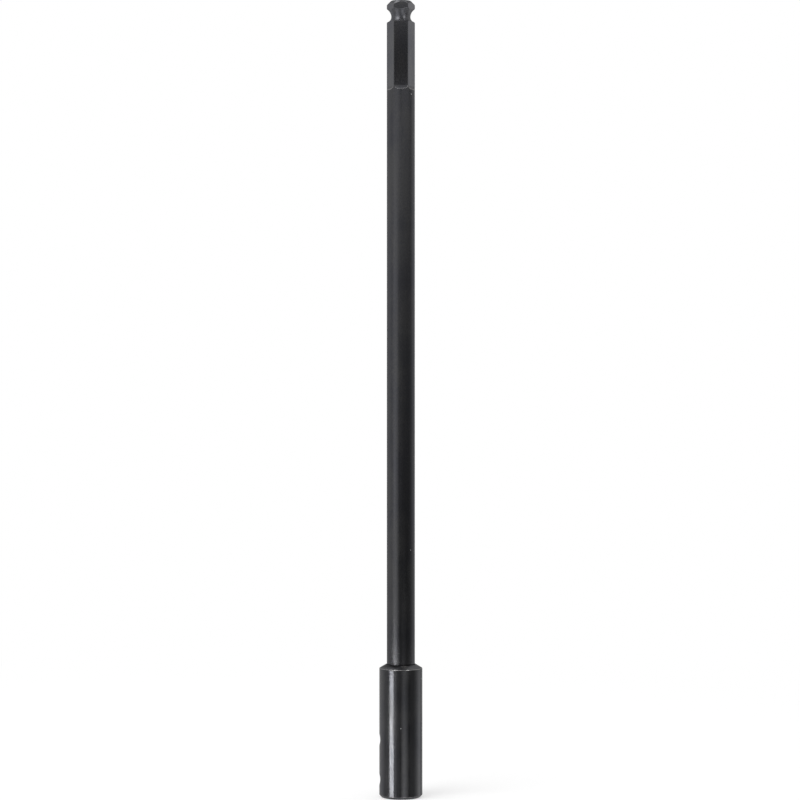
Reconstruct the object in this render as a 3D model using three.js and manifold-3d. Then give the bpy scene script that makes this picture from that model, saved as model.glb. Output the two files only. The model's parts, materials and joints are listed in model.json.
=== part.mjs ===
// Bit extension: a round steel bar with a grooved hex shank, and a hex socket pressed on its other
// end, in which two set screws hold the shank of a bit.
// Millimetres. +Z runs up the tool, from the socket mouth at z = 0 to the end of the shank.
// Flats of the shank face +Y and -Y. Flats of the socket face +X and -X, and the screws enter from -X.
import * as THREE from "three";
import { mergeVertices } from "three/addons/utils/BufferGeometryUtils.js";
import Module from "manifold-3d";

const wasm = await Module();
wasm.setup();

// Whole tool
const OVERALL_LENGTH = 305; // socket mouth to shank end

// Hex shank
const HEX_ACROSS_FLATS = 9.4; // a 3/8 inch shank, less its working clearance
const FLAT_DEPTH = 0.68; // how deep the flats are milled into the round bar
const SHANK_FLAT_LENGTH = 32.6; // shank end to where the flats start to run out
const RUNOUT_RADIUS = 2.2; // radius of the cutter that mills the flats
const END_CHAMFER = 1.5; // at the shank end

// Locking groove round the shank
const GROOVE_FROM_END = 6.06; // shank end to the deepest point
const GROOVE_FLOOR_DIAMETER = 7.36;
const GROOVE_END_RADIUS = 3.6; // wall on the side of the shank end
const GROOVE_BAR_RADIUS = 2.15; // wall on the side of the bar

// Socket
const SOCKET_DIAMETER = 16.5;
const SOCKET_LENGTH = 50.8;
const SOCKET_DEPTH = 28; // mouth to the end of the bar, where the end of the bit rests
const BIT_CLEARANCE = 0.2; // hex of the socket over the hex of a bit, across flats
const MOUTH_CHAMFER = 0.9; // outer edge of the mouth
const MOUTH_LEAD = 0.4; // how far the lead-in cone opens past the hex corners
const SHOULDER_ANGLE = THREE.MathUtils.degToRad(31); // of the cone at the top, from the horizontal
const RIM_WIDTH = 0.25; // flat ring between that cone and the counterbore
const COUNTERBORE_DEPTH = 2.4; // takes the bar above the hex

// The bar in the socket
const PRESS_GAP = 0.05; // each flat of the pressed hex to its flat in the socket
const BAR_GAP = 0.2; // round bar to the wall of the counterbore
const SEAT_GAP = 0.3; // floor of the counterbore to where the flats of the bar run out
const BAR_END_CHAMFER = 0.5;

// Set screws and their holes
const SCREW_DIAMETER = 4;
const SCREW_LENGTH = 3;
const SCREW_GAP = 0.08; // screw to the wall of its hole
const SCREW_CHAMFER = 0.35; // at the driven end
const SCREW_RETRACT = 0.1; // point behind the flat of the socket, so that a bit slides past
const CUP_DIAMETER = 2;
const CUP_DEPTH = 0.45;
const KEY_ACROSS_FLATS = 2;
const KEY_DEPTH = 1.4;
const HOLE_CHAMFER = 0.25;
const LOWER_SCREW_HEIGHT = 6.7; // above the socket mouth

// Fineness of the round faces, and how far a cut reaches past what it cuts
const ROUND_SEGMENTS = 48;
const SCREW_SEGMENTS = 24;
const ARC_SEGMENTS = 8;
const CUT_MARGIN = 1;

// Sizes that follow from the ones above
const HEX_SIDES = 6;
const HEX_STEP = (2 * Math.PI) / HEX_SIDES;
const barRadius = HEX_ACROSS_FLATS / 2 + FLAT_DEPTH;
const socketRadius = SOCKET_DIAMETER / 2;
const socketFlat = (HEX_ACROSS_FLATS + BIT_CLEARANCE) / 2;
const counterboreRadius = barRadius + BAR_GAP;
const counterboreFloor = SOCKET_LENGTH - COUNTERBORE_DEPTH;
const screwHoleRadius = SCREW_DIAMETER / 2 + SCREW_GAP;
// The upper screw points into the groove of a bit shank like this tool's own.
const upperScrewHeight = SOCKET_DEPTH - GROOVE_FROM_END;

function toSolid(geometry) {
  const bare = geometry.clone();
  bare.deleteAttribute("normal");
  bare.deleteAttribute("uv");
  const merged = mergeVertices(bare);
  return new wasm.Manifold(
    new wasm.Mesh({
      numProp: 3,
      vertProperties: new Float32Array(merged.attributes.position.array),
      triVerts: new Uint32Array(merged.index.array),
    }),
  );
}

function toGeometry(solid) {
  const { vertProperties, triVerts } = solid.getMesh();
  const geometry = new THREE.BufferGeometry();
  geometry.setAttribute("position", new THREE.BufferAttribute(vertProperties, 3));
  geometry.setIndex(new THREE.BufferAttribute(triVerts, 1));
  geometry.computeVertexNormals();
  return geometry;
}

// A solid turned about Z from a profile of [radius, height] points.
function turned(profile, segments) {
  const points = profile.map(([radius, height]) => new THREE.Vector2(radius, height));
  return toSolid(new THREE.LatheGeometry(points, segments).rotateX(Math.PI / 2));
}

// A hex prism about Z from one height to another, with a flat facing +X.
function hexPrism(flatRadius, bottom, top) {
  const cornerRadius = flatRadius / Math.cos(HEX_STEP / 2);
  const prism = new THREE.CylinderGeometry(cornerRadius, cornerRadius, top - bottom, HEX_SIDES);
  return toSolid(prism.rotateX(Math.PI / 2).translate(0, 0, (top + bottom) / 2));
}

// What the cutter takes away for six flats, from the end of a bar to where the flats run out in an arc.
// firstFlat is the direction that one of the flats faces.
function flatsCut(flatRadius, barEnd, runoutStart, firstFlat) {
  const towardsEnd = Math.sign(barEnd - runoutStart);
  const pastEnd = barEnd + towardsEnd * CUT_MARGIN;
  const runoutEnd = runoutStart - towardsEnd * RUNOUT_RADIUS;
  const outside = Math.max(barRadius, flatRadius + RUNOUT_RADIUS) + CUT_MARGIN;
  const side = new THREE.Shape();
  side.moveTo(outside, pastEnd);
  side.lineTo(flatRadius, pastEnd);
  side.lineTo(flatRadius, runoutStart);
  side.absarc(
    flatRadius + RUNOUT_RADIUS,
    runoutStart,
    RUNOUT_RADIUS,
    Math.PI,
    Math.PI + (towardsEnd * Math.PI) / 2,
    towardsEnd < 0,
  );
  side.lineTo(outside, runoutEnd);
  const width = 2 * outside;
  const wedge = new THREE.ExtrudeGeometry(side, {
    depth: width,
    bevelEnabled: false,
    curveSegments: ARC_SEGMENTS,
  });
  wedge.translate(0, 0, -width / 2).rotateX(Math.PI / 2).rotateZ(firstFlat);
  let cut = toSolid(wedge);
  for (let i = 1; i < HEX_SIDES; i++) {
    cut = cut.add(toSolid(wedge.rotateZ(HEX_STEP)));
  }
  return cut;
}

function grooveCut() {
  const floor = GROOVE_FLOOR_DIAMETER / 2;
  const height = OVERALL_LENGTH - GROOVE_FROM_END;
  const widest = floor + Math.max(GROOVE_END_RADIUS, GROOVE_BAR_RADIUS);
  const outside = Math.max(barRadius, widest) + CUT_MARGIN;
  const ring = new THREE.Path();
  ring.moveTo(outside, height - GROOVE_BAR_RADIUS);
  ring.lineTo(outside, height + GROOVE_END_RADIUS);
  ring.lineTo(floor + GROOVE_END_RADIUS, height + GROOVE_END_RADIUS);
  ring.absarc(floor + GROOVE_END_RADIUS, height, GROOVE_END_RADIUS, Math.PI / 2, Math.PI);
  ring.absarc(floor + GROOVE_BAR_RADIUS, height, GROOVE_BAR_RADIUS, Math.PI, 1.5 * Math.PI);
  ring.closePath();
  const profile = ring.getPoints(ARC_SEGMENTS).map((point) => [point.x, point.y]);
  return turned(profile, ROUND_SEGMENTS);
}

// The bar from the end that stops the bit to the shank end, with a hex on both ends.
// Rings where the flats run out keep the small faces of the cuts off the plain stretch between them.
function shaftGeometry() {
  const pressedRunout = counterboreFloor + SEAT_GAP;
  const shankRunout = OVERALL_LENGTH - SHANK_FLAT_LENGTH;
  const bar = turned(
    [
      [0, SOCKET_DEPTH],
      [barRadius - BAR_END_CHAMFER, SOCKET_DEPTH],
      [barRadius, SOCKET_DEPTH + BAR_END_CHAMFER],
      [barRadius, pressedRunout + RUNOUT_RADIUS],
      [barRadius, shankRunout - RUNOUT_RADIUS],
      [barRadius, OVERALL_LENGTH - END_CHAMFER],
      [barRadius - END_CHAMFER, OVERALL_LENGTH],
      [0, OVERALL_LENGTH],
    ],
    ROUND_SEGMENTS,
  );
  const shankFlats = flatsCut(HEX_ACROSS_FLATS / 2, OVERALL_LENGTH, shankRunout, HEX_STEP / 2);
  const pressedFlats = flatsCut(socketFlat - PRESS_GAP, SOCKET_DEPTH, pressedRunout, 0);
  return toGeometry(bar.subtract(grooveCut()).subtract(shankFlats).subtract(pressedFlats));
}

// A hole for a set screw, from outside the socket to the tool's axis.
function screwHole(height) {
  const hole = new THREE.LatheGeometry(
    [
      new THREE.Vector2(0, -socketRadius - CUT_MARGIN),
      new THREE.Vector2(screwHoleRadius + HOLE_CHAMFER + CUT_MARGIN, -socketRadius - CUT_MARGIN),
      new THREE.Vector2(screwHoleRadius, -socketRadius + HOLE_CHAMFER),
      new THREE.Vector2(screwHoleRadius, 0),
      new THREE.Vector2(0, 0),
    ],
    SCREW_SEGMENTS,
  );
  return toSolid(hole.rotateX(Math.PI / 2).rotateY(Math.PI / 2).translate(0, 0, height));
}

// The sleeve: a hex hole right through, widened for the bar at the top and opened for the bit below.
function socketGeometry() {
  const rimRadius = counterboreRadius + RIM_WIDTH;
  const shoulderHeight = (socketRadius - rimRadius) * Math.tan(SHOULDER_ANGLE);
  const sleeve = turned(
    [
      [0, 0],
      [socketRadius - MOUTH_CHAMFER, 0],
      [socketRadius, MOUTH_CHAMFER],
      [socketRadius, SOCKET_LENGTH - shoulderHeight],
      [rimRadius, SOCKET_LENGTH],
      [0, SOCKET_LENGTH],
    ],
    ROUND_SEGMENTS,
  );
  const counterbore = turned(
    [
      [0, counterboreFloor],
      [counterboreRadius, counterboreFloor],
      [counterboreRadius, SOCKET_LENGTH + CUT_MARGIN],
      [0, SOCKET_LENGTH + CUT_MARGIN],
    ],
    ROUND_SEGMENTS,
  );
  const leadRadius = socketFlat / Math.cos(HEX_STEP / 2) + MOUTH_LEAD;
  const leadIn = turned(
    [
      [0, -CUT_MARGIN],
      [leadRadius + CUT_MARGIN, -CUT_MARGIN],
      [0, leadRadius],
    ],
    ROUND_SEGMENTS,
  );
  const hexHole = hexPrism(socketFlat, -CUT_MARGIN, counterboreFloor + CUT_MARGIN);
  const cuts = [counterbore, leadIn, hexHole, screwHole(LOWER_SCREW_HEIGHT), screwHole(upperScrewHeight)];
  return toGeometry(cuts.reduce((solid, cut) => solid.subtract(cut), sleeve));
}

// A set screw along Z: the cup point ends at z = 0 and the driven end is below it.
function screwGeometry() {
  const radius = SCREW_DIAMETER / 2;
  const cupRadius = CUP_DIAMETER / 2;
  const body = turned(
    [
      [0, -SCREW_LENGTH],
      [radius - SCREW_CHAMFER, -SCREW_LENGTH],
      [radius, -SCREW_LENGTH + SCREW_CHAMFER],
      [radius, cupRadius - radius],
      [cupRadius, 0],
      [0, -CUP_DEPTH],
    ],
    SCREW_SEGMENTS,
  );
  const key = hexPrism(KEY_ACROSS_FLATS / 2, -SCREW_LENGTH - CUT_MARGIN, -SCREW_LENGTH + KEY_DEPTH);
  return toGeometry(body.subtract(key));
}

function blackenedSteel(color, roughness) {
  return new THREE.MeshStandardMaterial({ color, roughness, metalness: 0.9 });
}

function named(name, geometry, material) {
  const mesh = new THREE.Mesh(geometry, material);
  mesh.name = name;
  return mesh;
}

// A screw points along +X, at the tool's axis.
function setScrew(name, height) {
  const screw = named(name, screwGeometry(), blackenedSteel(0x2b2c2e, 0.5));
  screw.rotation.y = Math.PI / 2;
  screw.position.set(-socketFlat - SCREW_RETRACT, 0, height);
  return screw;
}

const bitExtension = new THREE.Group();
bitExtension.add(
  named("shaft", shaftGeometry(), blackenedSteel(0x47484a, 0.5)),
  named("socket", socketGeometry(), blackenedSteel(0x434446, 0.4)),
  setScrew("set_screw_upper", upperScrewHeight),
  setScrew("set_screw_lower", LOWER_SCREW_HEIGHT),
);

export default bitExtension;
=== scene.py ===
"""Bit extension: smooth meshes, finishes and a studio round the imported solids.

Metres. +Z runs up the tool, from the socket mouth at z = 0 to the end of the shank.
The camera looks along +Y, at the flat of the shank that faces -Y.
All sizes come first, then the pieces, their finishes and the studio.
"""

import json
import math

import bmesh
import bpy
import numpy as np
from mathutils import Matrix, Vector


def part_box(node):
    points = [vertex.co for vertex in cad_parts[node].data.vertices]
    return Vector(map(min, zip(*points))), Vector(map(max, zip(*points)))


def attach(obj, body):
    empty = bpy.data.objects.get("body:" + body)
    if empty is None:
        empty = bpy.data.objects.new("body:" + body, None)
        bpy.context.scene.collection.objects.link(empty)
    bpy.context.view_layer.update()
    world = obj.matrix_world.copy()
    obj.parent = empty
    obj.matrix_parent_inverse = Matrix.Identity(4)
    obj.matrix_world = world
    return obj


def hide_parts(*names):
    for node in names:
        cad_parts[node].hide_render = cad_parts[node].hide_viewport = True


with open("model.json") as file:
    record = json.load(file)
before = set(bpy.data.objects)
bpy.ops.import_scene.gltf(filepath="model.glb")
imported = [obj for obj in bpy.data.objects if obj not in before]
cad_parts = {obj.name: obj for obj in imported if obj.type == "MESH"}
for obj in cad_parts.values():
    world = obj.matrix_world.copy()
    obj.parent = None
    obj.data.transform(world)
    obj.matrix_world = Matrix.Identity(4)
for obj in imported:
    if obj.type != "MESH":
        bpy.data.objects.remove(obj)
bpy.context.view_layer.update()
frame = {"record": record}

MM = 0.001
HEX_SIDES = 6
HEX_STEP = 2 * math.pi / HEX_SIDES
FRONT = math.radians(270)  # the direction of -Y, towards the camera

# Sizes that the frame gives
mounts = {mount["name"]: mount["pos_m"] for mount in frame["record"]["mounts"]}
shaft_low, shaft_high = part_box("shaft")
socket_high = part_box("socket")[1]
screw_boxes = {node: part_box(node) for node in ("set_screw_lower", "set_screw_upper")}
screw_low, screw_high = screw_boxes["set_screw_lower"]
LENGTH = shaft_high.z
BAR_RADIUS = shaft_high.x
BAR_END = shaft_low.z
SHANK_FLAT = -mounts["shank_flat"][1]
SOCKET_RADIUS = socket_high.x
SOCKET_TOP = socket_high.z
SCREW_HEIGHTS = [(low.z + high.z) / 2 for low, high in screw_boxes.values()]
SCREW_POINT = screw_high.x
SCREW_LENGTH = screw_high.x - screw_low.x
SCREW_RADIUS = (screw_high.z - screw_low.z) / 2

# Shank and groove, as in the solids
SHANK_RUNOUT = LENGTH - 32.6 * MM
RUNOUT_RADIUS = 2.2 * MM
END_CHAMFER = 1.5 * MM
GROOVE_HEIGHT = LENGTH - 6.06 * MM
GROOVE_FLOOR = 3.68 * MM
GROOVE_END_RADIUS = 3.6 * MM
GROOVE_BAR_RADIUS = 2.15 * MM

# Socket and the hex that is pressed into it, as in the solids
SOCKET_FLAT = SHANK_FLAT + 0.1 * MM
PRESSED_FLAT = SOCKET_FLAT - 0.05 * MM
COUNTERBORE_RADIUS = BAR_RADIUS + 0.2 * MM
COUNTERBORE_FLOOR = SOCKET_TOP - 2.4 * MM
PRESSED_RUNOUT = COUNTERBORE_FLOOR + 0.3 * MM
BAR_END_CHAMFER = 0.5 * MM
RIM_WIDTH = 0.25 * MM
SHOULDER_ANGLE = math.radians(31)
MOUTH_CHAMFER = 0.9 * MM
LEAD_RADIUS = SOCKET_FLAT / math.cos(HEX_STEP / 2) + 0.4 * MM

# Set screws and their holes
HOLE_RADIUS = SCREW_RADIUS + 0.08 * MM
HOLE_CHAMFER = 0.25 * MM
HOLE_INNER_CHAMFER = 0.1 * MM
HOLE_THREAD_DEPTH = 0.3 * MM
PITCH = 0.7 * MM
THREAD_DEPTH = 0.4 * MM
THREAD_CREST = 0.14  # share of half a pitch
THREAD_FLANK = 0.6  # share of half a pitch
THREAD_FADE = 1 / 8  # share of a hole over which its thread grows to full depth
SCREW_CHAMFER = 0.35 * MM
CUP_RADIUS = 1.0 * MM
CUP_DEPTH = 0.45 * MM
KEY_FLAT = 1.0 * MM
KEY_DEPTH = 1.4 * MM
KEY_POINT = 0.3 * MM
KEY_CHAMFER = 0.1 * MM
KEY_FLOOR = 0.8  # where the floor of the recess drops in a cone, as a share of the recess
KEY_TIP = 0.3  # the flat at the end of that cone, as a share of the recess

# Rounding of the edges
EDGE = 0.14 * MM
CORNER_EDGE = 0.05 * MM  # between the flats of the shank and the round bar
RUNOUT_EDGE = 0.4 * MM  # where the flats run out
FRONT_RUNOUT_EDGE = 0.12 * MM  # where the front flat runs out
RUNOUT_BLEND = 0.1  # share of half a flat on which the one passes into the other
SHOULDER_FILLET = 0.3 * MM
MOUTH_FILLET = 0.2 * MM
RIM_FILLET = 0.06 * MM
SCREW_EDGE = 0.06 * MM
SHARP_ANGLE = math.radians(40)

# Wear, and painted shade and a painted highlight where the bar meets the socket
CORNER_SHELTER = 0.6  # share of the wear that the edges of the shank are spared
PAINTED_SHADE_REACH = 1.1 * MM  # painted shade, from the bar out over the socket's cone
PAINTED_SHADE_SHIFT = 0.35 * MM  # of that ring towards -X
BAR_PAINTED_SHADE_REACH = 0.5 * MM  # painted shade, along the bar from the top of the socket
PAINTED_HIGHLIGHT_ANGLE = math.radians(281)  # middle of a painted highlight: a patch of bare steel without the painted shade or oxide
PAINTED_HIGHLIGHT_WIDTH = math.radians(13)
CONE_TURNED = 0.5  # how much the socket's cone looks turned

# Fineness of the meshes
COARSE = 10 * MM
FINE = 0.08 * MM
MEDIUM = 2 * FINE
FINEST = 0.05 * MM
BAR_END_REACH = 2 * BAR_END_CHAMFER  # of the fine rows at the lower end of the bar
GROOVE_REACH = 1.1 * GROOVE_BAR_RADIUS  # of the fine rows below the groove's floor
CHAMFER_REACH = 1.2 * END_CHAMFER  # of the finest rows at the shank end
LEAD_REACH = 2 * (LEAD_RADIUS - SOCKET_FLAT)  # of the finest rows in the socket mouth
CORNER_REACH = 3  # degrees from a hex corner, where the columns are closest
CORNER_TURN = 0.25  # degrees between columns at the corners of the shank
PRESSED_TURN = 0.75  # degrees between columns at the corners of the pressed hex
FLAT_TURN = 1.5  # degrees between the other columns
FILLET_STEPS = 6
SOCKET_COLUMNS = 240
WINDOW_COLUMNS = 34
WINDOW_ROWS = 24
OUTER_WINDOW = 3.2 * MM
INNER_WINDOW = 2.6 * MM
HOLE_STEPS = 44
SCREW_COLUMNS = 72

# Rings on an end of the bar: inset and drop, as shares of the finest step, and edge
END_RINGS = ((0.25, 0.3, 1), (0.8, 0.06, 0.8), (1.6, 0, 0.3), (5, 0, 0), (30, 0, 0))
# Rings from a window in the socket's outside to the rim of a hole, as shares of the way
WINDOW_RINGS = (0.3, 0.6, 0.85, 0.97)
# Rings on the chamfer of a hole: inset and depth, as shares of the chamfer, and edge
HOLE_RINGS = ((0, 0.01, 0.6), (0.1, 0.06, 1), (0.5, 0.5, 0.7), (0.9, 0.9, 1), (1, 1.2, 0.6))
# The ring between a hole and its window in the bore, as a share of the way
BORE_RING = 0.3
# Rings in the cup of a screw: shares of its radius and of its depth, and edge
CUP_RINGS = ((0.15, 0.85, 0), (0.5, 0.5, 0), (0.85, 0.15, 0), (0.96, 0.02, 1))

# Black oxide on steel
BARE_STEEL = (0.42, 0.41, 0.40, 1)
# Colour of the painted shade where the bar meets the socket
PAINTED_SHADE_COLOUR = (0.024, 0.024, 0.025, 1)
DUST = (0.5, 0.5, 0.5, 1)
GLOSS_TINT = (0.6, 0.6, 0.6, 1)
CUT_LIFT = 1.52  # how much brighter the oxide is on cut steel
MILLED_ROUGHNESS = 0.1
TURNED_ROUGHNESS = 0.38
CLOUD = 0.04  # how far blotches and streaks each change the roughness
WORN_POLISH = 0.05  # how far wear lowers the roughness
MILLED_PITS = 0.4  # share of the pits' depth that is left on milled flats
DRAWN_STRETCH = 0.92
QUARTER_TURN = 0.25

# Patterns in the oxide: sizes along X, Y and Z, and detail
BLOTCH = ((7 * MM, 7 * MM, 15 * MM), 5.0)
PITS = ((0.7 * MM, 0.7 * MM, 0.7 * MM), 3.0)
CHIPS = ((0.5 * MM, 0.5 * MM, 1.2 * MM), 4.0)
STREAK_DETAIL = 3.0
GRAIN_DETAIL = 4.0
BLOTCH_SHARE = 0.6  # of the blotches in the mottle, where the rest is pits
DUST_CELL = 4 * MM
DUST_SPECK = (0.03, 0.06)  # from its solid middle to its edge, in cells

# Values of a pattern or trait between which it passes from none to all
ALL = (0.0, 1.0)
CHIP_RANGE = (0.3, 0.6)
EDGE_RANGE = (0.2, 1.0)
TONE_RANGE = (0.38, 0.62)
PAINTED_SHADE_RANGE = (0.1, 0.6)
# For the painted shade at the joint
BLOTCH_RANGE = (0.25, 0.75)
STREAK_RANGE = (0.3, 0.7)

# Camera: the photograph's frame and its scale on the tool's axis
IMAGE_PIXELS = 800
FOCAL_PIXELS = 2300
PIXELS_PER_METRE = 2607
SENSOR_WIDTH = 36
CAMERA_HEIGHT = 152.1 * MM
CAMERA_SIDE = -0.33 * MM
CAMERA_DISTANCE = FOCAL_PIXELS / PIXELS_PER_METRE

# Light and floor
WHITE = (1, 1, 1, 1)
FILL_STRENGTH = 0.85  # of the white world on matt surfaces
LAMP_SIZE = 1.0
LAMP_POWER = 12
LAMP_PLACE = Vector((-0.7, -0.6, 1.4))
LAMP_AIM = Vector((0, 0, 0.1))
FLOOR_SIZE = 3.0
FLOOR_DROP = 0.02 * MM  # below the socket mouth
FLOOR_COLOUR = (0.92, 0.92, 0.92, 1)
FLOOR_ROUGHNESS = 0.9
SHADOW_FADE = (0.05, 0.5)  # distances between which the shadow fades out
SHADOW_WHITE = 0.5  # share of white in it close to the tool

# Cards of the studio: name, radius, columns of (azimuth, gain) and levels of (height, glow).
# Azimuth 0 is towards the camera and 90 towards +X.
# The height of a level is where an upright face on the tool mirrors it to the camera.
CARD_RADIUS = 2.0
INNER_CARD_RADIUS = 1.9
STRIP_RADIUS = 0.4
CARD_TURN = 2  # degrees between the columns of a card's mesh
STRIP_COLUMNS = ((-62, 1), (-40, 1))
CARDS = (
    # In front, for the plain gloss of bar and socket
    (
        "front_card",
        CARD_RADIUS,
        ((-24, 1.3), (20, 1), (50, 0.85), (76, 0.9)),
        (
            (-0.2, 0.55),
            (0.03, 0.36),
            (0.047, 0.26),
            (0.053, 0.12),
            (0.086, 0.18),
            (0.114, 0.2),
            (0.183, 0.34),
            (0.213, 0.43),
            (0.24, 0.62),
            (0.262, 0.78),
            (0.3, 0.95),
            (0.34, 0.8),
            (0.7, 0.4),
            (1.5, 0.4),
        ),
    ),
    # Round the camera, for the dark front flat of the shank
    (
        "camera_card",
        INNER_CARD_RADIUS,
        ((-9, 1), (9, 1)),
        (
            (0.268, 0.12),
            (0.288, 0.16),
            (0.296, 0.28),
            (0.299, 0.48),
            (0.31, 0.57),
            (0.4, 0.55),
            (1.2, 0.8),
        ),
    ),
    # For the right flat of the shank and the right rims
    (
        "right_card",
        CARD_RADIUS,
        ((76, 0.2), (92, 0.42), (118, 1.02), (128, 1.02)),
        ((-0.2, 2.0), (0.04, 1.8), (0.055, 0.8), (0.298, 1.19), (0.302, 1.42), (0.32, 1.42)),
    ),
    # Behind, for the outermost rims
    (
        "back_card",
        CARD_RADIUS,
        ((160, 0.3), (180, 0.25), (200, 0.3)),
        ((-0.2, 1), (0.1, 1), (0.3, 2.5), (0.7, 3)),
    ),
    # For the left flat of the shank and the left rims
    (
        "side_card",
        CARD_RADIUS,
        ((-128, 1.25), (-100, 1.25), (-92, 1), (-66, 1)),
        (
            (-0.2, 0.58),
            (0.05, 0.62),
            (0.06, 0.75),
            (0.25, 0.85),
            (0.298, 0.82),
            (0.302, 0.98),
            (0.32, 0.98),
        ),
    ),
    # For the left rim of the socket
    (
        "socket_side",
        INNER_CARD_RADIUS,
        ((-150, 1), (-126, 1), (-104, 0.7)),
        ((-0.2, 1.5), (0.05, 1.4)),
    ),
    # For the bright line down the bar
    (
        "left_strip",
        STRIP_RADIUS,
        STRIP_COLUMNS,
        (
            (0.047, 2.0),
            (0.07, 1.7),
            (0.087, 1.4),
            (0.115, 1.4),
            (0.183, 1.3),
            (0.274, 1.05),
            (0.288, 0.35),
            (0.34, 0.35),
        ),
    ),
    # For the bright line down the socket
    (
        "socket_strip",
        CARD_RADIUS,
        STRIP_COLUMNS,
        (
            (-0.6, 2.5),
            (-0.08, 2.5),
            (-0.04, 0.5),
            (0.003, 3),
            (0.012, 22),
            (0.03, 26),
            (0.039, 3),
            (0.06, 1),
        ),
    ),
    # For the soft light on the front of the socket and its mouth
    (
        "low_strip",
        INNER_CARD_RADIUS,
        ((-6, 0), (17, 1), (48, 0)),
        (
            (-0.6, 3.4),
            (-0.2, 3.2),
            (-0.04, 2.1),
            (0.01, 1.55),
            (0.035, 1.2),
            (0.04, 1.0),
            (0.043, 0.1),
        ),
    ),
    # High on the right, for the groove of the shank
    (
        "high_strip",
        INNER_CARD_RADIUS,
        ((32, 0.9), (38, 7), (50, 7), (56, 0.9)),
        ((0.35, 0.2), (0.38, 1), (0.8, 1)),
    ),
)


def rounded_min(limits, widths):
    """The least of several radii, with the edges between them rounded to the widths.

    The second result says how near each place is to an edge, up to 1.
    """
    radius = limits[0]
    edge = 0.0
    for limit, width in zip(limits[1:], widths):
        nearness = np.clip(1 - np.abs(radius - limit) / width, 0, 1)
        kept = np.clip(1 - (radius - limit) / width, 0, 1)
        radius = np.minimum(radius, limit) - width / 4 * nearness**2
        edge = np.maximum(edge * kept, nearness)
    return radius, edge


def hex_radius(angle, flat, first):
    """Radius of a hexagon whose flats are that far from the axis, one of them facing the first angle."""
    turn = (angle - first + HEX_STEP / 2) % HEX_STEP - HEX_STEP / 2
    return flat / np.cos(turn)


def arc_rise(distance, radius):
    """How far an arc has risen from its lowest point, at a distance to the side of it."""
    return radius - math.sqrt(max(radius**2 - distance**2, 0))


def steps_through(start, stretches):
    """Values from a start through stretches of (end, step)."""
    values = [start]
    for end, step in stretches:
        count = max(1, round((end - values[-1]) / step))
        values.extend(np.linspace(values[-1], end, count + 1)[1:])
    return values


def filleted(corners):
    """Points (radius, height, edge) along corners (radius, height, fillet), each fillet as an arc."""
    path = []
    for place, (radius, height, fillet) in enumerate(corners):
        corner = Vector((radius, height))
        if fillet == 0:
            path.append((radius, height, 0))
            continue
        back = (Vector(corners[place - 1][:2]) - corner).normalized()
        ahead = (Vector(corners[place + 1][:2]) - corner).normalized()
        half = back.angle(ahead) / 2
        centre = corner + (back + ahead).normalized() * fillet / math.sin(half)
        start = corner + back * fillet / math.tan(half) - centre
        end = corner + ahead * fillet / math.tan(half) - centre
        for step in range(FILLET_STEPS + 1):
            arm = start.lerp(end, step / FILLET_STEPS).normalized() * fillet
            path.append((*(centre + arm), 1 - abs(2 * step / FILLET_STEPS - 1)))
    return path


def even_angles(count):
    """Angles of as many even columns round an axis."""
    return np.arange(count) * 2 * math.pi / count


def round_z(radius, angle, height):
    """Points round the tool's axis."""
    across = np.broadcast_to(radius, angle.shape)
    level = np.broadcast_to(height, angle.shape)
    return np.stack([across * np.cos(angle), across * np.sin(angle), level], 1)


def round_x(radius, angle, along, height):
    """Points round a line along X at a height."""
    across = np.broadcast_to(radius, angle.shape)
    place = np.broadcast_to(along, angle.shape)
    return np.stack([place, across * np.cos(angle), across * np.sin(angle) + height], 1)


def add_object(name, data):
    """An object with those data, in the scene."""
    made = bpy.data.objects.new(name, data)
    bpy.context.scene.collection.objects.link(made)
    return made


class Skin:
    """The points and faces of one piece, put together from loops of points."""

    def __init__(self):
        self.points = []
        self.faces = []
        self.traits = {"edge": [], "milled": [], "turned": [], "soot": []}

    def add(self, points, **traits):
        """A loop of points, with how much each is an edge, milled, turned or under painted shade."""
        first = len(self.points)
        self.points.extend(points)
        for name, values in self.traits.items():
            values.extend(np.broadcast_to(traits.get(name, 0.0), len(points)))
        return np.arange(first, len(self.points))

    def join(self, loop, other, skipped=()):
        """Faces between two loops of as many points, less those at the skipped places."""
        quads = np.stack([loop, np.roll(loop, -1), np.roll(other, -1), other], 1)
        kept = np.setdiff1d(np.arange(len(loop)), skipped)
        self.faces.extend(quads[kept].tolist())

    def join_all(self, loops):
        """Faces from each loop to the next."""
        for loop, other in zip(loops, loops[1:]):
            self.join(loop, other)

    def cap(self, loop, centre, **traits):
        """Faces from a loop to one point."""
        middle = self.add([centre], **traits)[0]
        self.faces.extend([a, b, middle] for a, b in zip(loop.tolist(), np.roll(loop, -1).tolist()))

    def piece(self, name, material):
        """The object that the loops make, with its traits as attributes of its points."""
        mesh = bpy.data.meshes.new(name)
        mesh.from_pydata(np.array(self.points).tolist(), [], self.faces)
        shape = bmesh.new()
        shape.from_mesh(mesh)
        bmesh.ops.recalc_face_normals(shape, faces=shape.faces)
        shape.to_mesh(mesh)
        shape.free()
        for trait, values in self.traits.items():
            attribute = mesh.attributes.new(trait, "FLOAT", "POINT")
            attribute.data.foreach_set("value", np.array(values, np.float32))
        mesh.shade_smooth()
        mesh.set_sharp_from_angle(angle=SHARP_ANGLE)
        mesh.materials.append(material)
        return add_object(name, mesh)


def shaft_angles():
    """Angles round the bar, closest at the corners of the shank and of the pressed hex between them."""
    sector = math.degrees(HEX_STEP)
    stretches = (
        (CORNER_REACH, CORNER_TURN),
        (sector / 2 - CORNER_REACH, FLAT_TURN),
        (sector / 2 + CORNER_REACH, PRESSED_TURN),
        (sector - CORNER_REACH, FLAT_TURN),
        (sector, CORNER_TURN),
    )
    turns = np.array(steps_through(0, stretches)[:-1])
    starts = np.arange(HEX_SIDES) * sector
    return np.radians((starts[:, None] + turns).ravel())


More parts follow.
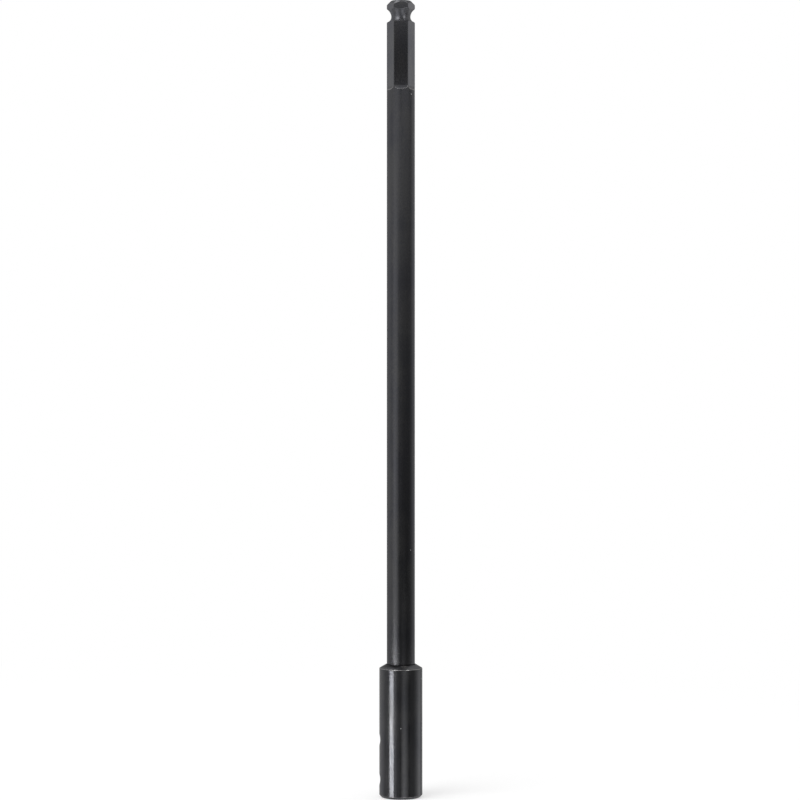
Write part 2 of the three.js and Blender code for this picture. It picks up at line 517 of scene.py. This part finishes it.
def shaft_heights():
    """Heights up the bar, closest where its outline curves."""
    stretches = (
        (BAR_END + BAR_END_REACH, FINE),
        (PRESSED_RUNOUT, COARSE),
        (PRESSED_RUNOUT + RUNOUT_RADIUS, MEDIUM),
        (SOCKET_TOP + PAINTED_SHADE_REACH, MEDIUM),
        (SHANK_RUNOUT - RUNOUT_RADIUS, COARSE),
        (SHANK_RUNOUT + FINE, FINEST),
        (GROOVE_HEIGHT - GROOVE_REACH, COARSE),
        (GROOVE_HEIGHT + GROOVE_END_RADIUS, FINE),
        (LENGTH - CHAMFER_REACH, FINE),
        (LENGTH - FINEST, FINEST),
    )
    return steps_through(BAR_END + FINEST, stretches)


def runout_edge(angle):
    """Rounding where the flats of the shank run out: narrow on the front flat and wide on the others."""
    from_front = np.abs(angle - FRONT) / (HEX_STEP / 2)
    blend = (1 - RUNOUT_BLEND, 1 + RUNOUT_BLEND)
    return np.interp(from_front, blend, (FRONT_RUNOUT_EDGE, RUNOUT_EDGE))


def shaft_radius(angle, height):
    """Radius of the bar round one height, and its traits there."""
    shank_rise = arc_rise(max(SHANK_RUNOUT - height, 0), RUNOUT_RADIUS)
    pressed_rise = arc_rise(max(height - PRESSED_RUNOUT, 0), RUNOUT_RADIUS)
    from_groove = height - GROOVE_HEIGHT
    groove_radius = GROOVE_END_RADIUS if from_groove > 0 else GROOVE_BAR_RADIUS
    bar = np.full_like(angle, BAR_RADIUS)
    shank = hex_radius(angle, SHANK_FLAT + shank_rise, HEX_STEP / 2)
    pressed = hex_radius(angle, PRESSED_FLAT + pressed_rise, 0)
    groove = GROOVE_FLOOR + arc_rise(from_groove, groove_radius)
    upper_chamfer = BAR_RADIUS - END_CHAMFER + LENGTH - height
    lower_chamfer = BAR_RADIUS - BAR_END_CHAMFER + height - BAR_END

    on_shank = np.clip(1 - (SHANK_RUNOUT - height) / RUNOUT_RADIUS, 0, 1)
    wide = runout_edge(angle)
    corner = wide + (CORNER_EDGE - wide) * on_shank
    limits = (bar, shank, pressed, groove, upper_chamfer, lower_chamfer)
    radius, edge = rounded_min(limits, (corner, corner, EDGE, EDGE, EDGE))

    below_hex = np.minimum(bar, shank) - min(groove, upper_chamfer)
    turned = np.clip(below_hex / CORNER_EDGE, 0, 1)
    milled = np.clip((BAR_RADIUS - shank) / CORNER_EDGE, 0, 1) * (1 - turned) * on_shank
    edge = edge * (1 - CORNER_SHELTER * on_shank)
    return radius, {"edge": edge, "milled": milled, "turned": turned}


def close_end(skin, loop, angle, height, upward):
    """An end face of the bar, from its last loop to its centre. Upward is 1 at the top and -1 below."""
    rim = np.hypot(*np.array(skin.points)[loop, :2].T)
    loops = [loop]
    for inset, drop, edge in END_RINGS:
        level = height - upward * drop * FINEST
        ring = round_z(rim - inset * FINEST, angle, level)
        loops.append(skin.add(ring, edge=edge, turned=1.0))
    skin.join_all(loops)
    skin.cap(loops[-1], (0, 0, height), turned=1.0)


def make_shaft(material):
    """The bar with its grooved shank and the hex that is pressed into the socket."""
    skin = Skin()
    angle = shaft_angles()
    loops = []
    for height in shaft_heights():
        radius, traits = shaft_radius(angle, height)
        # Painted shade on the bar, just above the socket
        soot = max(0, 1 - abs(height - SOCKET_TOP) / BAR_PAINTED_SHADE_REACH)
        loops.append(skin.add(round_z(radius, angle, height), soot=soot, **traits))
    skin.join_all(loops)
    close_end(skin, loops[0], angle, BAR_END, -1)
    close_end(skin, loops[-1], angle, LENGTH, 1)
    return skin.piece("shaft_bar", material)


def thread_wave(along, angle):
    """From 0 on the crest of a right-hand thread to 1 in its root."""
    turn = (along / PITCH - angle / (2 * math.pi)) % 1
    share = np.clip((np.abs(2 * turn - 1) - THREAD_CREST) / THREAD_FLANK, 0, 1)
    return share * share * (3 - 2 * share)


def window_loop(loops, first_row, columns):
    """The points round a window in a wall of loops, by row and column."""
    rows = range(first_row, first_row + WINDOW_ROWS + 1)
    bottom = [loops[rows[0]][column] for column in columns]
    right = [loops[row][columns[-1]] for row in rows[1:-1]]
    top = [loops[rows[-1]][column] for column in columns]
    left = [loops[row][columns[0]] for row in rows[1:-1]]
    return np.array(bottom + right + top[::-1] + left[::-1])


def by_angle(skin, loop, centre):
    """A window's points in order round a hole's axis, with their angles and their distances from it."""
    points = np.array([skin.points[i] for i in loop])
    up = points[:, 2] - centre
    angle = np.arctan2(up, points[:, 1])
    distance = np.hypot(points[:, 1], up)
    order = np.argsort(angle)
    return loop[order], angle[order], distance[order]


def under_outside(radius, angle, depth, centre):
    """Points round a hole's axis, at a depth under the socket's outside."""
    points = round_x(radius, angle, 0, centre)
    points[:, 0] = depth - np.sqrt(SOCKET_RADIUS**2 - points[:, 1] ** 2)
    return points


def thread_hole(skin, outer, inner, centre):
    """A threaded hole from a window in the socket's outside to one in a flat of its bore."""
    outer, outer_angle, outer_distance = by_angle(skin, outer, centre)
    inner, inner_angle, inner_distance = by_angle(skin, inner, centre)
    loops = [outer]
    rim = HOLE_RADIUS + HOLE_CHAMFER
    for share in WINDOW_RINGS:
        radius = outer_distance + (rim - outer_distance) * share
        loops.append(skin.add(under_outside(radius, outer_angle, 0, centre)))
    for inset, depth, edge in HOLE_RINGS:
        ring = under_outside(rim - HOLE_CHAMFER * inset, outer_angle, HOLE_CHAMFER * depth, centre)
        loops.append(skin.add(ring, edge=edge))

    start = ring[:, 0]
    end = -SOCKET_FLAT - HOLE_INNER_CHAMFER
    for step in range(1, HOLE_STEPS + 1):
        share = step / HOLE_STEPS
        angle = outer_angle + (inner_angle - outer_angle) * share
        along = start + (end - start) * share
        fade = np.clip(min(share, 1 - share) / THREAD_FADE, 0, 1)
        depth = HOLE_THREAD_DEPTH * thread_wave(along, angle) * fade
        loops.append(skin.add(round_x(HOLE_RADIUS + depth, angle, along, centre)))

    last = HOLE_RADIUS + HOLE_INNER_CHAMFER
    around = last + (inner_distance - last) * BORE_RING
    loops.append(skin.add(round_x(last, inner_angle, -SOCKET_FLAT, centre), edge=1.0))
    loops.append(skin.add(round_x(around, inner_angle, -SOCKET_FLAT, centre)))
    skin.join_all(loops + [inner])


def wall_heights(bottom, top, reach):
    """Heights up a wall, with even rows across the screw holes."""
    heights = [bottom]
    for centre in SCREW_HEIGHTS:
        heights.extend(np.linspace(centre - reach, centre + reach, WINDOW_ROWS + 1))
    return heights + [top]


def window_rows(first):
    """The rows in which the windows of the screw holes start, one window after another."""
    return [first + place * (WINDOW_ROWS + 1) for place in range(len(SCREW_HEIGHTS))]


def socket_outline():
    """The socket's outline (radius, height, edge) from the mouth up to the floor of the counterbore."""
    rim = COUNTERBORE_RADIUS + RIM_WIDTH
    shoulder = SOCKET_TOP - (SOCKET_RADIUS - rim) * math.tan(SHOULDER_ANGLE)
    return filleted(
        [
            (LEAD_RADIUS + EDGE, 0, 0),
            (SOCKET_RADIUS - MOUTH_CHAMFER, 0, MOUTH_FILLET),
            (SOCKET_RADIUS, MOUTH_CHAMFER, MOUTH_FILLET),
            (SOCKET_RADIUS, shoulder, SHOULDER_FILLET),
            (rim, SOCKET_TOP, RIM_FILLET),
            (COUNTERBORE_RADIUS, SOCKET_TOP, RIM_FILLET),
            (COUNTERBORE_RADIUS, COUNTERBORE_FLOOR, 0),
        ]
    )


def joint_shade_and_highlight(radius, angle):
    """Painted shade round the bar on the socket's cone, a ring a little off centre, and a painted highlight
    where it is left out.
    """
    away = radius + PAINTED_SHADE_SHIFT * np.cos(angle) - BAR_RADIUS
    painted_highlight = np.exp(-(((angle - PAINTED_HIGHLIGHT_ANGLE) / PAINTED_HIGHLIGHT_WIDTH) ** 2)) * (away < PAINTED_SHADE_REACH)
    return np.clip(1 - away / PAINTED_SHADE_REACH, 0, 1) * (1 - painted_highlight), painted_highlight


def add_outside(skin, angle):
    """Loops from the mouth up to the counterbore's floor, and the first row of each hole's window."""
    outline = socket_outline()
    below = [point for point in outline if point[1] < SOCKET_TOP / 2]
    above = outline[len(below) :]
    wall = wall_heights(below[-1][1] + EDGE, above[0][1] - EDGE, OUTER_WINDOW)
    loops = []
    for radius, height, edge in below + [(SOCKET_RADIUS, height, 0) for height in wall] + above:
        on_cone = radius < SOCKET_RADIUS and height > SOCKET_TOP / 2
        soot, painted_highlight = joint_shade_and_highlight(radius, angle)
        traits = {
            # A painted highlight on the cone, which bares the steel as edge wear does
            "edge": np.maximum(edge, painted_highlight * on_cone),
            # Painted shade at the joint
            "soot": soot * on_cone,
            "turned": CONE_TURNED * on_cone,
        }
        loops.append(skin.add(round_z(radius, angle, height), **traits))
    return loops, window_rows(len(below) + 1)


def add_bore(skin, angle):
    """Loops from the counterbore's floor down to the mouth, and the first row of each hole's window."""
    heights = wall_heights(LEAD_REACH, COUNTERBORE_FLOOR, INNER_WINDOW)[::-1]
    lead = np.arange(heights[-1] - FINEST, FINEST / 2, -FINEST)
    loops = []
    for height in heights + list(lead):
        limits = (-hex_radius(angle, SOCKET_FLAT, 0), np.full_like(angle, height - LEAD_RADIUS))
        radius, edge = rounded_min(limits, (EDGE,))
        loops.append(skin.add(round_z(-radius, angle, height), edge=edge))
    return loops, window_rows(1)[::-1]


def make_socket(material):
    """The sleeve with its hex bore and the threaded holes of the screws."""
    skin = Skin()
    angle = even_angles(SOCKET_COLUMNS)
    first_column = (SOCKET_COLUMNS - WINDOW_COLUMNS) // 2
    columns = range(first_column, first_column + WINDOW_COLUMNS + 1)
    outside, outer_rows = add_outside(skin, angle)
    bore, bore_rows = add_bore(skin, angle)
    loops = outside + bore
    inner_rows = [len(outside) + row for row in bore_rows]

    open_rows = {row + step for row in outer_rows + inner_rows for step in range(WINDOW_ROWS)}
    for row, (loop, other) in enumerate(zip(loops, loops[1:] + loops[:1])):
        skin.join(loop, other, columns[:-1] if row in open_rows else ())
    for outer_row, inner_row, centre in zip(outer_rows, inner_rows, SCREW_HEIGHTS):
        outer = window_loop(loops, outer_row, columns)
        inner = window_loop(loops, inner_row, columns)
        thread_hole(skin, outer, inner, centre)
    return skin.piece("socket_sleeve", material)


def thread_rings(angle):
    """Rings (radius, distance back from the point, edge) from a screw's cup along its thread."""
    rings = [(CUP_RADIUS * across, CUP_DEPTH * deep, edge) for across, deep, edge in CUP_RINGS]
    for back in np.arange(FINEST / 2, SCREW_LENGTH - FINEST / 4, FINEST):
        limits = (
            SCREW_RADIUS - THREAD_DEPTH * thread_wave(SCREW_POINT - back, angle),
            np.full_like(angle, CUP_RADIUS + back),
            np.full_like(angle, SCREW_RADIUS - SCREW_CHAMFER + SCREW_LENGTH - back),
        )
        radius, edge = rounded_min(limits, (SCREW_EDGE, SCREW_EDGE))
        rings.append((radius, back, edge))
    return rings


def recess_rings(angle):
    """Rings (radius, distance back from the point, edge) from a screw's driven face into its recess."""
    key = hex_radius(angle, KEY_FLAT, 0)
    corner = KEY_FLAT / math.cos(HEX_STEP / 2)
    mouth = corner + KEY_CHAMFER
    floor = SCREW_LENGTH - KEY_DEPTH
    return [
        (SCREW_RADIUS - SCREW_CHAMFER - SCREW_EDGE, SCREW_LENGTH, 0.5),
        (mouth + SCREW_EDGE, SCREW_LENGTH, 0),
        (mouth, SCREW_LENGTH - SCREW_EDGE / 4, 1),
        (np.maximum(key, mouth - KEY_CHAMFER), SCREW_LENGTH - KEY_CHAMFER, 0.6),
        (key, SCREW_LENGTH - 2 * KEY_CHAMFER, 0.3),
        (key, floor, 0),
        (KEY_FLOOR * key, floor, 0),
        (KEY_TIP * key, floor - KEY_POINT, 0),
    ]


def make_screw(name, centre, material):
    """A headless screw along X, from its cup point to its hex recess."""
    skin = Skin()
    angle = even_angles(SCREW_COLUMNS)
    loops = []
    for radius, back, edge in thread_rings(angle) + recess_rings(angle):
        loops.append(skin.add(round_x(radius, angle, SCREW_POINT - back, centre), edge=edge))
    skin.join_all(loops)
    skin.cap(loops[0], (SCREW_POINT - CUP_DEPTH, 0, centre))
    skin.cap(loops[-1], (SCREW_POINT - SCREW_LENGTH + KEY_DEPTH + KEY_POINT, 0, centre))
    return skin.piece(name, material)


class Finish:
    """A material's nodes."""

    def __init__(self, name):
        self.material = bpy.data.materials.new(name)
        self.material.use_nodes = True
        self.tree = self.material.node_tree
        self.shader = self.tree.nodes["Principled BSDF"]
        self.place = self.node("ShaderNodeTexCoord").outputs["Object"]

    def node(self, kind, **settings):
        made = self.tree.nodes.new(kind)
        for key, value in settings.items():
            setattr(made, key, value)
        return made

    def put(self, socket, value):
        """Sets a socket to a value, or links it to another node's output."""
        if isinstance(value, bpy.types.NodeSocket):
            self.tree.links.new(value, socket)
        else:
            socket.default_value = value

    def show(self, output):
        """Makes a shader's output the surface of the material."""
        self.put(self.tree.nodes["Material Output"].inputs["Surface"], output)

    def trait(self, name):
        """A trait of the mesh at each place."""
        return self.node("ShaderNodeAttribute", attribute_name=name).outputs["Fac"]

    def noise(self, size, detail):
        """Noise whose features are about that size along X, Y and Z."""
        scaled = self.node("ShaderNodeVectorMath", operation="DIVIDE")
        self.put(scaled.inputs[0], self.place)
        self.put(scaled.inputs[1], size)
        made = self.node("ShaderNodeTexNoise")
        self.put(made.inputs["Vector"], scaled.outputs[0])
        self.put(made.inputs["Scale"], 1.0)
        self.put(made.inputs["Detail"], detail)
        return made.outputs["Fac"]

    def dust(self, share):
        """1 in small specks, in that share of the cells."""
        cells = self.node("ShaderNodeTexVoronoi")
        self.put(cells.inputs["Vector"], self.place)
        self.put(cells.inputs["Scale"], 1 / DUST_CELL)
        near = self.ranged(cells.outputs["Distance"], DUST_SPECK, (1.0, 0.0))
        chance = self.node("ShaderNodeSeparateColor")
        self.put(chance.inputs[0], cells.outputs["Color"])
        return self.math("MULTIPLY", near, self.math("GREATER_THAN", chance.outputs[0], 1 - share))

    def ranged(self, value, span, result=ALL):
        """A value passed smoothly from one range to another."""
        made = self.node("ShaderNodeMapRange", interpolation_type="SMOOTHSTEP")
        self.put(made.inputs["Value"], value)
        for key, limit in zip(("From Min", "From Max", "To Min", "To Max"), (*span, *result)):
            self.put(made.inputs[key], limit)
        return made.outputs["Result"]

    def math(self, operation, first, second):
        made = self.node("ShaderNodeMath", operation=operation)
        self.put(made.inputs[0], first)
        self.put(made.inputs[1], second)
        return made.outputs[0]

    def mixed(self, share, first, second):
        """A share of the second colour in the first. Inputs 6 and 7 and output 2 are the node's colours."""
        made = self.node("ShaderNodeMix", data_type="RGBA")
        self.put(made.inputs["Factor"], share)
        self.put(made.inputs[6], first)
        self.put(made.inputs[7], second)
        return made.outputs[2]

    def bump(self, height, depth, below=None):
        """The normal of a relief to that depth, on top of the one below."""
        made = self.node("ShaderNodeBump")
        self.put(made.inputs["Strength"], 1.0)
        self.put(made.inputs["Distance"], depth)
        self.put(made.inputs["Height"], height)
        if below is not None:
            self.put(made.inputs["Normal"], below)
        return made.outputs["Normal"]


def lifted(colour):
    """An oxide's colour where the steel under it was milled or turned."""
    return (*(CUT_LIFT * share for share in colour[:3]), 1)


class BlackenedSteel(Finish):
    """Black oxide over steel: mottled, with a machined grain, fine pits, wear on the edges and a painted
    highlight on the socket's cone.
    """

    def __init__(self, name, streak, wear):
        super().__init__(name)
        self.put(self.shader.inputs["Specular Tint"], GLOSS_TINT)
        self.blotch = self.noise(*BLOTCH)
        self.streaks = self.noise(streak, STREAK_DETAIL)
        self.pits = self.noise(*PITS)
        self.milled = self.trait("milled")
        self.turned = self.trait("turned")
        self.cut = self.math("ADD", self.milled, self.turned)
        chips = self.ranged(self.noise(*CHIPS), CHIP_RANGE)
        # The edge trait holds the wear of the edges, and a painted highlight on the socket's cone
        edges = self.ranged(self.trait("edge"), EDGE_RANGE)
        self.worn_and_painted_highlight = self.math("MULTIPLY", self.math("MULTIPLY", edges, chips), wear)

    def colour(self, cool, warm, dusty):
        """Oxide between a cool and a warm tone, with painted shade at the joint, and dust in that share of
        its cells.
        """
        blotch = self.math("MULTIPLY", self.blotch, BLOTCH_SHARE)
        pits = self.math("MULTIPLY", self.pits, 1 - BLOTCH_SHARE)
        tone = self.ranged(self.math("ADD", blotch, pits), TONE_RANGE)
        oxide = self.mixed(tone, cool, warm)
        cut_oxide = self.mixed(tone, lifted(cool), lifted(warm))
        metal = self.mixed(self.worn_and_painted_highlight, self.mixed(self.cut, oxide, cut_oxide), BARE_STEEL)
        # Painted shade where the bar meets the socket
        with_painted_shade = self.mixed(self.ranged(self.trait("soot"), PAINTED_SHADE_RANGE), metal, PAINTED_SHADE_COLOUR)
        dust = self.dust(dusty)
        self.put(self.shader.inputs["Base Color"], self.mixed(dust, with_painted_shade, DUST))
        self.put(self.shader.inputs["Metallic"], self.math("SUBTRACT", 1.0, dust))

    def gloss(self, roughness):
        """Roughness of the plain oxide, which is another on milled and on turned steel."""
        satin = self.ranged(self.milled, ALL, (roughness, MILLED_ROUGHNESS))
        turning = self.math("MULTIPLY", self.turned, TURNED_ROUGHNESS - roughness)
        satin = self.math("ADD", satin, turning)
        blotch = self.ranged(self.blotch, BLOTCH_RANGE, (-CLOUD, CLOUD))
        streaks = self.ranged(self.streaks, STREAK_RANGE, (-CLOUD, CLOUD))
        plain = self.math("SUBTRACT", 1.0, self.cut)
        cloud = self.math("MULTIPLY", self.math("ADD", blotch, streaks), plain)
        satin = self.math("ADD", satin, cloud)
        polish = self.math("MULTIPLY", self.worn_and_painted_highlight, WORN_POLISH)
        self.put(self.shader.inputs["Roughness"], self.math("SUBTRACT", satin, polish))

    def relief(self, streak_depth, grain, grain_depth, pit_depth):
        """Streaks, a grain of that size and pits, each to its depth."""
        normal = self.bump(self.streaks, streak_depth)
        normal = self.bump(self.noise(grain, GRAIN_DETAIL), grain_depth, normal)
        kept = self.ranged(self.milled, ALL, (1.0, MILLED_PITS))
        pits = self.math("MULTIPLY", self.pits, kept)
        self.put(self.shader.inputs["Normal"], self.bump(pits, pit_depth, normal))

    def draw_out(self):
        """Gloss of a drawn bar: spread round the bar, and along it where the surface is turned."""
        self.put(self.shader.inputs["Anisotropic"], DRAWN_STRETCH)
        around = self.node("ShaderNodeTangent", direction_type="RADIAL", axis="Z")
        self.put(self.shader.inputs["Tangent"], around.outputs[0])
        rotation = self.math("MULTIPLY", self.turned, QUARTER_TURN)
        self.put(self.shader.inputs["Anisotropic Rotation"], rotation)


def bar_steel():
    """Drawn steel, with long streaks and a fine grain along the bar."""
    steel = BlackenedSteel("bar_steel", streak=(1 * MM, 1 * MM, 40 * MM), wear=0.95)
    steel.colour(cool=(0.056, 0.057, 0.0635, 1), warm=(0.072, 0.072, 0.0745, 1), dusty=0.08)
    steel.gloss(roughness=0.21)
    steel.relief(
        streak_depth=0.004 * MM,
        grain=(0.15 * MM, 0.15 * MM, 6 * MM),
        grain_depth=0.002 * MM,
        pit_depth=0.009 * MM,
    )
    steel.draw_out()
    return steel.material


def socket_steel():
    """Turned steel, with a fine grain round the socket."""
    steel = BlackenedSteel("socket_steel", streak=(1.6 * MM, 1.6 * MM, 9 * MM), wear=0.9)
    steel.colour(cool=(0.053, 0.054, 0.0595, 1), warm=(0.071, 0.071, 0.0735, 1), dusty=0.35)
    steel.gloss(roughness=0.19)
    steel.relief(
        streak_depth=0.004 * MM,
        grain=(4 * MM, 4 * MM, 0.12 * MM),
        grain_depth=0.001 * MM,
        pit_depth=0.009 * MM,
    )
    return steel.material


def screw_steel():
    """Dull steel of the small screws."""
    steel = BlackenedSteel("screw_steel", streak=(1 * MM, 1 * MM, 1 * MM), wear=0.5)
    steel.colour(cool=(0.045, 0.046, 0.049, 1), warm=(0.055, 0.055, 0.056, 1), dusty=0.08)
    steel.gloss(roughness=0.35)
    steel.relief(
        streak_depth=0.002 * MM,
        grain=(0.1 * MM, 0.6 * MM, 0.6 * MM),
        grain_depth=0.001 * MM,
        pit_depth=0.003 * MM,
    )
    return steel.material


def card_glow():
    """Light as strong as the glow of a card's points."""
    finish = Finish("card")
    light = finish.node("ShaderNodeEmission")
    finish.put(light.inputs["Strength"], finish.trait("glow"))
    finish.show(light.outputs[0])
    return finish.material


def studio_card(material, name, radius, columns, levels):
    """A curved card that shows only in reflections, brighter or darker by column and level."""
    stops, stop_gains = zip(*columns)
    azimuths = np.arange(stops[0], stops[-1] + 1, CARD_TURN)
    gains = np.interp(azimuths, stops, stop_gains)
    points = []
    glows = []
    for azimuth, gain in zip(np.radians(azimuths), gains):
        for height, glow in levels:
            mirrored = height + radius * (height - CAMERA_HEIGHT) / CAMERA_DISTANCE
            points.append((radius * math.sin(azimuth), -radius * math.cos(azimuth), mirrored))
            glows.append(gain * glow)
    rows = len(levels)
    corners = [column * rows + row for column in range(len(azimuths) - 1) for row in range(rows - 1)]
    faces = [(corner, corner + 1, corner + rows + 1, corner + rows) for corner in corners]
    mesh = bpy.data.meshes.new(name)
    mesh.from_pydata(points, [], faces)
    mesh.attributes.new("glow", "FLOAT", "POINT").data.foreach_set("value", glows)
    mesh.materials.append(material)
    card = add_object(name, mesh)
    card.visible_camera = False
    card.visible_diffuse = False
    card.visible_shadow = False


def background_share(tree):
    """1 for rays that show the white background: those of the camera, of reflections and of glass."""
    path = tree.nodes.new("ShaderNodeLightPath")
    share = path.outputs["Is Camera Ray"]
    for name in ("Is Glossy Ray", "Is Transmission Ray"):
        larger = tree.nodes.new("ShaderNodeMath")
        larger.operation = "MAXIMUM"
        tree.links.new(share, larger.inputs[0])
        tree.links.new(path.outputs[name], larger.inputs[1])
        share = larger.outputs[0]
    return share


def make_world():
    """A white background, which lights matt surfaces a little less than it shows."""
    world = bpy.data.worlds.new("studio")
    bpy.context.scene.world = world
    world.use_nodes = True
    tree = world.node_tree
    white = tree.nodes["Background"]
    white.inputs["Color"].default_value = WHITE
    white.inputs["Strength"].default_value = 1.0
    fill = tree.nodes.new("ShaderNodeBackground")
    fill.inputs["Color"].default_value = WHITE
    fill.inputs["Strength"].default_value = FILL_STRENGTH
    mix = tree.nodes.new("ShaderNodeMixShader")
    tree.links.new(background_share(tree), mix.inputs[0])
    tree.links.new(fill.outputs[0], mix.inputs[1])
    tree.links.new(white.outputs[0], mix.inputs[2])
    tree.links.new(mix.outputs[0], tree.nodes["World Output"].inputs["Surface"])


def floor_finish():
    """Pale paint that shows the object's shadow near by, and passes into white further off."""
    finish = Finish("floor")
    finish.put(finish.shader.inputs["Base Color"], FLOOR_COLOUR)
    finish.put(finish.shader.inputs["Roughness"], FLOOR_ROUGHNESS)
    distance = finish.node("ShaderNodeVectorMath", operation="LENGTH")
    finish.put(distance.inputs[0], finish.place)
    white = finish.ranged(distance.outputs["Value"], SHADOW_FADE, (SHADOW_WHITE, 1.0))
    glow = finish.node("ShaderNodeEmission")
    mix = finish.node("ShaderNodeMixShader")
    finish.put(mix.inputs[0], finish.math("MULTIPLY", background_share(finish.tree), white))
    finish.put(mix.inputs[1], finish.shader.outputs[0])
    finish.put(mix.inputs[2], glow.outputs[0])
    finish.show(mix.outputs[0])
    return finish.material


def make_floor():
    mesh = bpy.data.meshes.new("floor")
    square = ((-1, -1), (1, -1), (1, 1), (-1, 1))
    corners = [(FLOOR_SIZE * x, FLOOR_SIZE * y, -FLOOR_DROP) for x, y in square]
    mesh.from_pydata(corners, [], [(0, 1, 2, 3)])
    mesh.materials.append(floor_finish())
    floor = add_object("floor", mesh)
    floor.visible_glossy = False


def make_lamp():
    light = bpy.data.lights.new("softbox", "AREA")
    light.shape = "DISK"
    light.size = LAMP_SIZE
    light.energy = LAMP_POWER
    lamp = add_object("softbox", light)
    lamp.location = LAMP_PLACE
    lamp.rotation_euler = (LAMP_AIM - LAMP_PLACE).to_track_quat("-Z", "Y").to_euler()
    lamp.visible_camera = False


def make_camera():
    lens = bpy.data.cameras.new("camera")
    lens.sensor_width = SENSOR_WIDTH
    lens.lens = FOCAL_PIXELS / IMAGE_PIXELS * SENSOR_WIDTH
    camera = add_object("camera", lens)
    camera.location = (CAMERA_SIDE, -CAMERA_DISTANCE, CAMERA_HEIGHT)
    camera.rotation_euler = (math.pi / 2, 0, 0)
    bpy.context.scene.camera = camera


def make_studio():
    make_camera()
    make_world()
    make_floor()
    make_lamp()
    glow = card_glow()
    for card in CARDS:
        studio_card(glow, *card)


def dress(piece, body, node):
    """Puts a piece on the body that carries it, and hides the node whose place it takes."""
    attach(piece, body)
    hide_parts(node)


make_studio()
dress(make_shaft(bar_steel()), "extension", "shaft")
dress(make_socket(socket_steel()), "extension", "socket")
screw_material = screw_steel()
for node, centre in zip(screw_boxes, SCREW_HEIGHTS):
    position = node.replace("set_screw_", "")
    screw = make_screw(f"threaded_screw_{position}", centre, screw_material)
    dress(screw, f"{position}_set_screw", node)

bpy.context.scene.view_settings.view_transform = "Standard"
